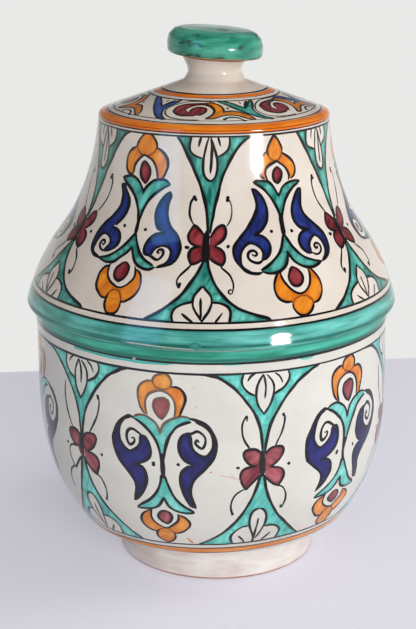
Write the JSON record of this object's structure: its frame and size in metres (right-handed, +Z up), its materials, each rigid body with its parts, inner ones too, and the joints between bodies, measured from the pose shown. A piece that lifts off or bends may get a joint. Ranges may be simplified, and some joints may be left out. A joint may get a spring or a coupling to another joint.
{
  "type": "covered jar",
  "caption": "Round glazed earthenware jar on a turned foot, with a bell-shaped lid that sits over a collar and lifts off by its knob.",
  "frame": {"origin": "on the floor, at the centre of the foot ring", "axes": "+Z up along the axis the jar was turned about; -Y is the side that the picture shows"},
  "size_m": [0.23, 0.23, 0.3346],
  "materials": {
    "jar_glaze": "glossy off-white glaze with painted ornament",
    "lid_glaze": "glossy off-white glaze with painted ornament",
    "knob_glaze": "glossy green glaze, bare clay at the lower edge"
  },
  "bodies": {
    "jar": {"jar_body": "jar_glaze"},
    "lid": {"lid": "lid_glaze", "knob": "knob_glaze"}
  },
  "joints": [
    {"name": "lid_lift", "type": "slide", "parent": "jar", "child": "lid", "axis": [0, 0, 1], "range_m": [0, 0.15]}
  ]
}
